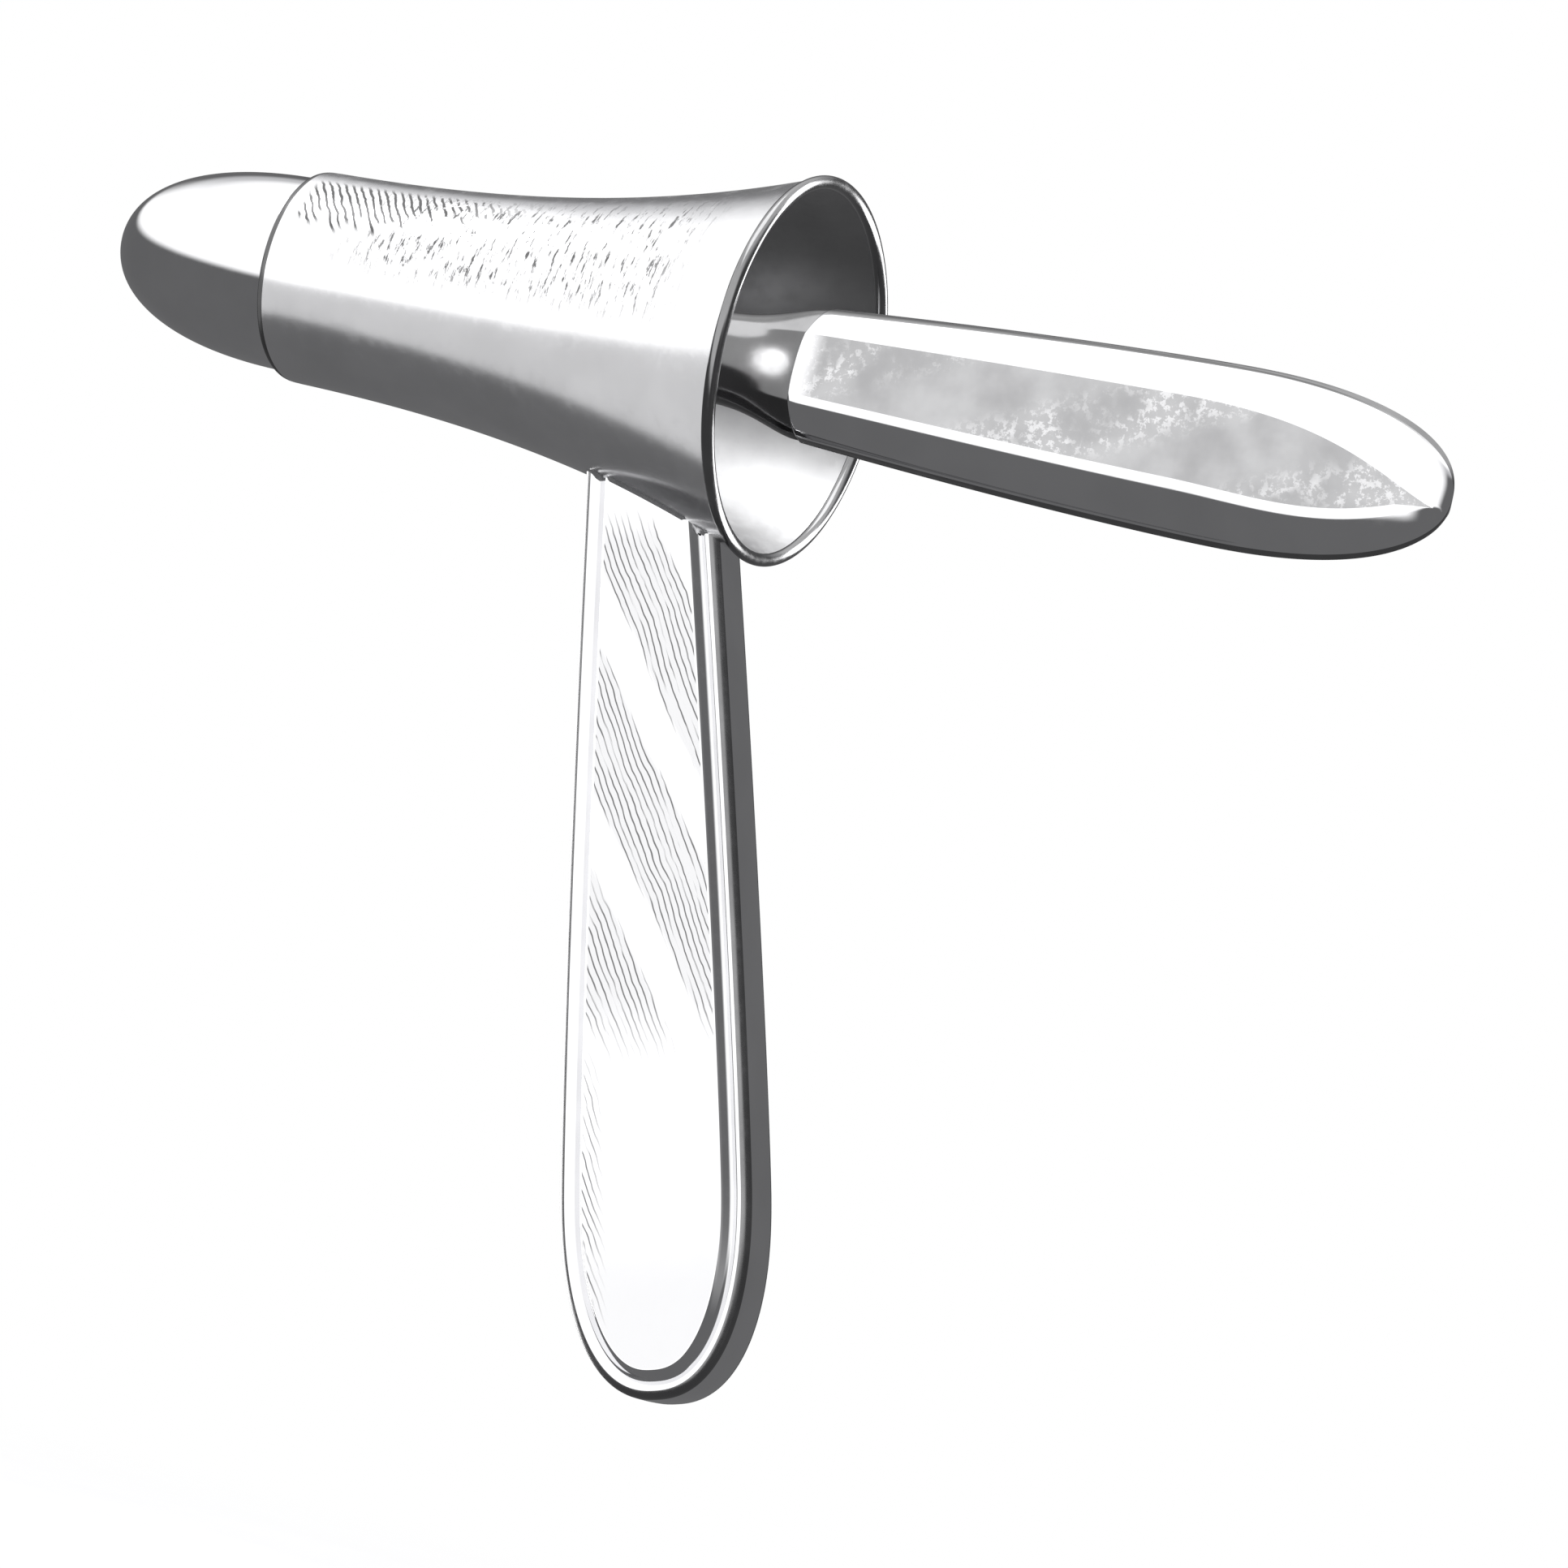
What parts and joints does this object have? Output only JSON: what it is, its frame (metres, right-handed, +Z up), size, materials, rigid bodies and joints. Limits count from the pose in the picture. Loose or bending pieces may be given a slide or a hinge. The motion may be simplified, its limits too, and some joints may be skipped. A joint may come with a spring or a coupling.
{
  "type": "anoscope",
  "caption": "Tubular anoscope in polished steel: a flared tube with a beaded mouth and a flat leaning handle, and a bullet-nosed obturator that slides out by its flat grip.",
  "frame": {"origin": "where the handle's centreline meets the tube's axis", "axes": "+X along the tube's axis, out of the mouth towards the user; +Z up, with the handle hanging below; +Y completes the frame"},
  "size_m": [0.1799, 0.048, 0.1485],
  "materials": {
    "polished_tube": "mirror-polished stainless steel with fine turning marks",
    "polished_bead": "mirror-polished stainless steel",
    "polished_handle": "mirror-polished stainless steel with fine diagonal polishing marks on its panels",
    "satin_inner": "as forged, hidden inside the handle",
    "braze": "smooth silver braze",
    "polished_obturator": "mirror-polished stainless steel",
    "polished_neck": "mirror-polished stainless steel",
    "polished_grip": "mirror-polished stainless steel shoulders, with a lightly mottled satin panel"
  },
  "bodies": {
    "speculum": {"speculum_tube": "polished_tube", "mouth_bead_ring": "polished_bead", "handle_shell_front": "polished_handle", "handle_shell_back": "polished_handle", "handle_saddle": "satin_inner", "handle_braze_bead": "braze"},
    "obturator": {"obturator_nose": "polished_obturator", "obturator_sleeve": "polished_obturator", "obturator_rear_cone": "polished_obturator", "obturator_neck": "polished_neck", "grip_shell_front": "polished_grip", "grip_shell_back": "polished_grip"}
  },
  "joints": [
    {"name": "obturator_slide", "type": "slide", "parent": "speculum", "child": "obturator", "axis": [1, 0, 0], "range_m": [0, 0.1]}
  ]
}
